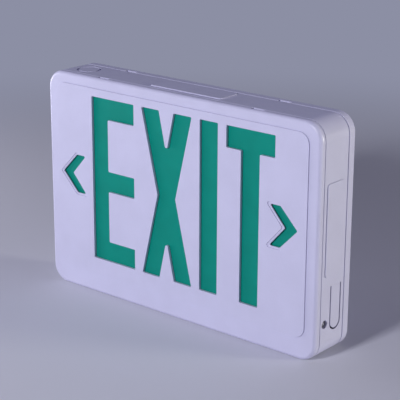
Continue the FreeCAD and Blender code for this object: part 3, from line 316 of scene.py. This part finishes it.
def moulded_dark(name, colour, roughness=0.5):
    """Filled nylon or epoxy: matt, with a fine speckle."""
    f = Finish(name, colour, roughness)
    speck = f.spread(f.noise(2400.0, 2.0), 0.45, 0.7)
    f.colour(f.blend(speck, tinted(colour, 0.8), tinted(colour, 1.5)))
    f.rough(f.wander(500.0, 2.0, roughness - 0.08, roughness + 0.08))
    return f.bump(speck, 0.00001, 0.5)


def legged_chip(name, body_half_x, middle_x):
    """Black epoxy body, tinned legs standing out at both sides."""
    f = Finish(name, srgb(26, 26, 28), 0.48)
    offset = f.maths("ABSOLUTE", f.maths("SUBTRACT", f.along("X"), middle_x))
    leg = f.spread(offset, body_half_x - 0.00002, body_half_x + 0.00002)
    epoxy = f.blend(f.noise(2600.0, 2.0), srgb(20, 20, 22), srgb(38, 38, 40))
    f.colour(f.blend(leg, epoxy, srgb(190, 192, 196)))
    f.feed(f.shader.inputs["Metallic"], leg)
    return f.rough(f.spread(leg, 0.0, 1.0, 0.5, 0.28))


def lamp_epoxy(name):
    """Smoked water-clear epoxy, with a few flow streaks."""
    colour = srgb(150, 149, 166)
    f = Finish(name, colour, 0.12, IOR=1.54, Transmission_Weight=0.1)
    streak = f.noise(900.0, 2.0, place=f.stretched((0.3, 1.0, 1.0)))
    f.colour(f.blend(streak, tinted(colour, 0.85), tinted(colour, 1.15)))
    return f.rough(f.spread(streak, NOISE_LOW, NOISE_HIGH, 0.08, 0.2))


def middle_of(node, axis):
    low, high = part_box(node)
    return (low[axis] + high[axis]) / 2


def front_of(node):
    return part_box(node)[0].y


def finishes():
    """CAD node name to its material."""
    abs_white = moulded("abs_white", WHITE_ABS)
    inner_white = moulded("abs_inner_white", srgb(214, 214, 224), 0.42)
    board = circuit_board("board_solder_mask")
    zinc = plated("screw_zinc")
    bar_mask = moulded("bar_white_mask", srgb(226, 228, 230), 0.3, 0.02)
    return {
        "front_cover": abs_white,
        "housing_frame": abs_white,
        "back_cover": abs_white,
        "test_tab": abs_white,
        "battery_strap": abs_white,
        "green_panel": legend_sheet("legend_green", LEGEND_GREEN),
        "diffuser_sheet": opal_sheet("opal_diffuser", OPAL),
        "side_board": board,
        "main_board": board,
        "switch_body": moulded_dark("switch_black", srgb(30, 30, 33)),
        "switch_plunger": moulded("switch_nylon", srgb(196, 194, 184), 0.45),
        "charge_lamp": lamp_epoxy("lamp_smoked_epoxy"),
        "lamp_holder": moulded_dark("holder_nylon", srgb(112, 110, 124)),
        "reflector": inner_white,
        "light_bar_lower": bar_mask,
        "light_bar_upper": bar_mask,
        "emitters_lower": emitter_case("emitter_case", front_of("emitters_lower")),
        "emitters_upper": emitter_case("emitter_case_upper", front_of("emitters_upper")),
        "reflector_screws": zinc,
        "bar_screws": zinc,
        "board_screws": zinc,
        "transformer_screws": zinc,
        "strap_screws": zinc,
        "terminal_screws": plated("nickel_screw", srgb(190, 186, 176), 0.28),
        "capacitors": sleeved_can("capacitor_sleeve", front_of("capacitors")),
        "relay": moulded("relay_blue", srgb(52, 96, 166), 0.3, 0.04),
        "control_chip": legged_chip("chip_epoxy", CHIP_BODY_HALF, middle_of("control_chip", 0)),
        "terminal_block": moulded("terminal_green", srgb(38, 142, 84), 0.36, 0.05),
        "board_headers": moulded("header_nylon", srgb(224, 218, 200), 0.44),
        "transformer_core": laminated("core_laminations", srgb(112, 112, 118)),
        "transformer_coil": taped("coil_tape", srgb(214, 178, 62)),
        "transformer_bracket": plated("bracket_zinc", srgb(168, 170, 176), 0.36),
        "battery_cells": plated("cell_nickel", srgb(182, 182, 184), 0.25),
        "battery_wrap": shrink_sleeve("pack_sleeve", srgb(44, 92, 152)),
        "battery_lead": insulated("battery_wire", srgb(178, 32, 30), srgb(24, 24, 26)),
        "bar_lead": insulated("bar_wire", srgb(222, 220, 214), srgb(150, 152, 158)),
        "side_lead": insulated("side_wire", srgb(206, 150, 40), srgb(40, 70, 140)),
    }


def dress(frame):
    """Every CAD node gets its finish in each of its material slots."""
    chosen = finishes()
    for node, piece in frame["nodes"].items():
        material = chosen[node].material
        for slot in piece.material_slots:
            slot.link = "OBJECT"
            slot.material = material


# ---- stage, lights, camera --------------------------------------------------------
AMBIENT = 0.04
AMBIENT_TINT = (1.0, 1.0, 1.35)
FLOOR_HALF = 7.0
FADE_NEAR = 0.45
FADE_FAR = 1.05


def seen_directly(nodes, links):
    """1 for rays that show the background: camera, mirror and glass rays."""
    path = nodes.new("ShaderNodeLightPath")
    total = path.outputs["Is Camera Ray"]
    for name in ("Is Glossy Ray", "Is Transmission Ray"):
        more = nodes.new("ShaderNodeMath")
        more.operation = "MAXIMUM"
        links.new(total, more.inputs[0])
        links.new(path.outputs[name], more.inputs[1])
        total = more.outputs[0]
    return total


def floor():
    """Plain pale floor that fades into the backdrop's colour far away."""
    mesh = bpy.data.meshes.new("stage_floor")
    corners = [(-FLOOR_HALF, -FLOOR_HALF), (FLOOR_HALF, -FLOOR_HALF),
               (FLOOR_HALF, FLOOR_HALF), (-FLOOR_HALF, FLOOR_HALF)]
    mesh.from_pydata([(x, y, LOW.z) for x, y in corners], [], [(0, 1, 2, 3)])
    plane = bpy.data.objects.new("stage_floor", mesh)
    bpy.context.scene.collection.objects.link(plane)
    f = Finish("stage_paper", srgb(218, 219, 228), 0.9)
    f.shader.inputs["Specular IOR Level"].default_value = 0.2
    length = f.nodes.new("ShaderNodeVectorMath")
    length.operation = "LENGTH"
    f.links.new(f.place, length.inputs[0])
    far = f.spread(length.outputs["Value"], FADE_NEAR, FADE_FAR)
    glow = f.nodes.new("ShaderNodeEmission")
    glow.inputs["Color"].default_value = (*BACKDROP, 1.0)
    mix = f.nodes.new("ShaderNodeMixShader")
    f.links.new(f.maths("MULTIPLY", far, seen_directly(f.nodes, f.links)), mix.inputs["Fac"])
    f.links.new(f.shader.outputs["BSDF"], mix.inputs[1])
    f.links.new(glow.outputs["Emission"], mix.inputs[2])
    output = next(n for n in f.nodes if n.type == "OUTPUT_MATERIAL")
    f.links.new(mix.outputs["Shader"], output.inputs["Surface"])
    mesh.materials.append(f.material)


def world():
    """Dim even ambience; the backdrop's colour where it is seen."""
    made = bpy.data.worlds.new("studio")
    made.use_nodes = True
    nodes, links = made.node_tree.nodes, made.node_tree.links
    ambient = nodes["Background"]
    ambient.inputs["Color"].default_value = (*AMBIENT_TINT, 1.0)
    ambient.inputs["Strength"].default_value = AMBIENT
    seen = nodes.new("ShaderNodeBackground")
    seen.inputs["Color"].default_value = (*BACKDROP, 1.0)
    mix = nodes.new("ShaderNodeMixShader")
    links.new(seen_directly(nodes, links), mix.inputs["Fac"])
    links.new(ambient.outputs["Background"], mix.inputs[1])
    links.new(seen.outputs["Background"], mix.inputs[2])
    links.new(mix.outputs["Shader"], nodes["World Output"].inputs["Surface"])
    bpy.context.scene.world = made


def soft_box(name, direction, distance, width, height, watts, tint):
    """Area light aimed at the middle of the object."""
    light = bpy.data.lights.new(name, "AREA")
    light.shape = "RECTANGLE"
    light.size = width
    light.size_y = height
    light.energy = watts
    light.color = tint
    lamp = bpy.data.objects.new(name, light)
    way = Vector(direction).normalized()
    lamp.location = MIDDLE + way * distance
    lamp.rotation_euler = way.to_track_quat("Z", "Y").to_euler()
    bpy.context.scene.collection.objects.link(lamp)


def lights():
    """Name, direction, metres away, width, height, watts, and a tint fitted to the photo."""
    soft_box("key", (0.0, -1.0, 0.39), 1.8, 0.25, 0.25, 21.0, (0.925, 0.92, 1.0))
    soft_box("near_fill", (-1.0, -0.25, 0.04), 1.0, 0.5, 0.26, 4.3, (0.92, 0.92, 1.0))
    soft_box("side_fill", (1.0, 0.5, 0.1), 2.5, 0.6, 0.6, 37.8, (1.0, 0.98, 0.885))
    soft_box("overhead", (0.0, 0.1, 1.0), 1.5, 1.0, 1.0, 1.7, (0.32, 0.3, 1.0))


# Fitted to the corners of the four letters in the photo.
CAMERA_SPOT = Vector((0.7366, -0.8641, 0.4682))
CAMERA_LOOK = Vector((0.0299, LOW.y, 0.1166))
CAMERA_ROLL = math.radians(0.25)
LENS_MM = 122.35
SENSOR_MM = 36.0
SEES_AS_FAR_AS = 50.0                   # metres


def camera():
    data = bpy.data.cameras.new("view")
    data.lens = LENS_MM
    data.sensor_width = SENSOR_MM
    data.clip_end = SEES_AS_FAR_AS
    made = bpy.data.objects.new("view", data)
    made.location = CAMERA_SPOT
    aim = (CAMERA_LOOK - CAMERA_SPOT).to_track_quat("-Z", "Y")
    made.rotation_mode = "QUATERNION"
    made.rotation_quaternion = aim @ Quaternion((0.0, 0.0, 1.0), CAMERA_ROLL)
    bpy.context.scene.collection.objects.link(made)
    bpy.context.scene.camera = made


dress(frame)
floor()
world()
lights()
camera()
bpy.context.scene.view_settings.view_transform = "Standard"
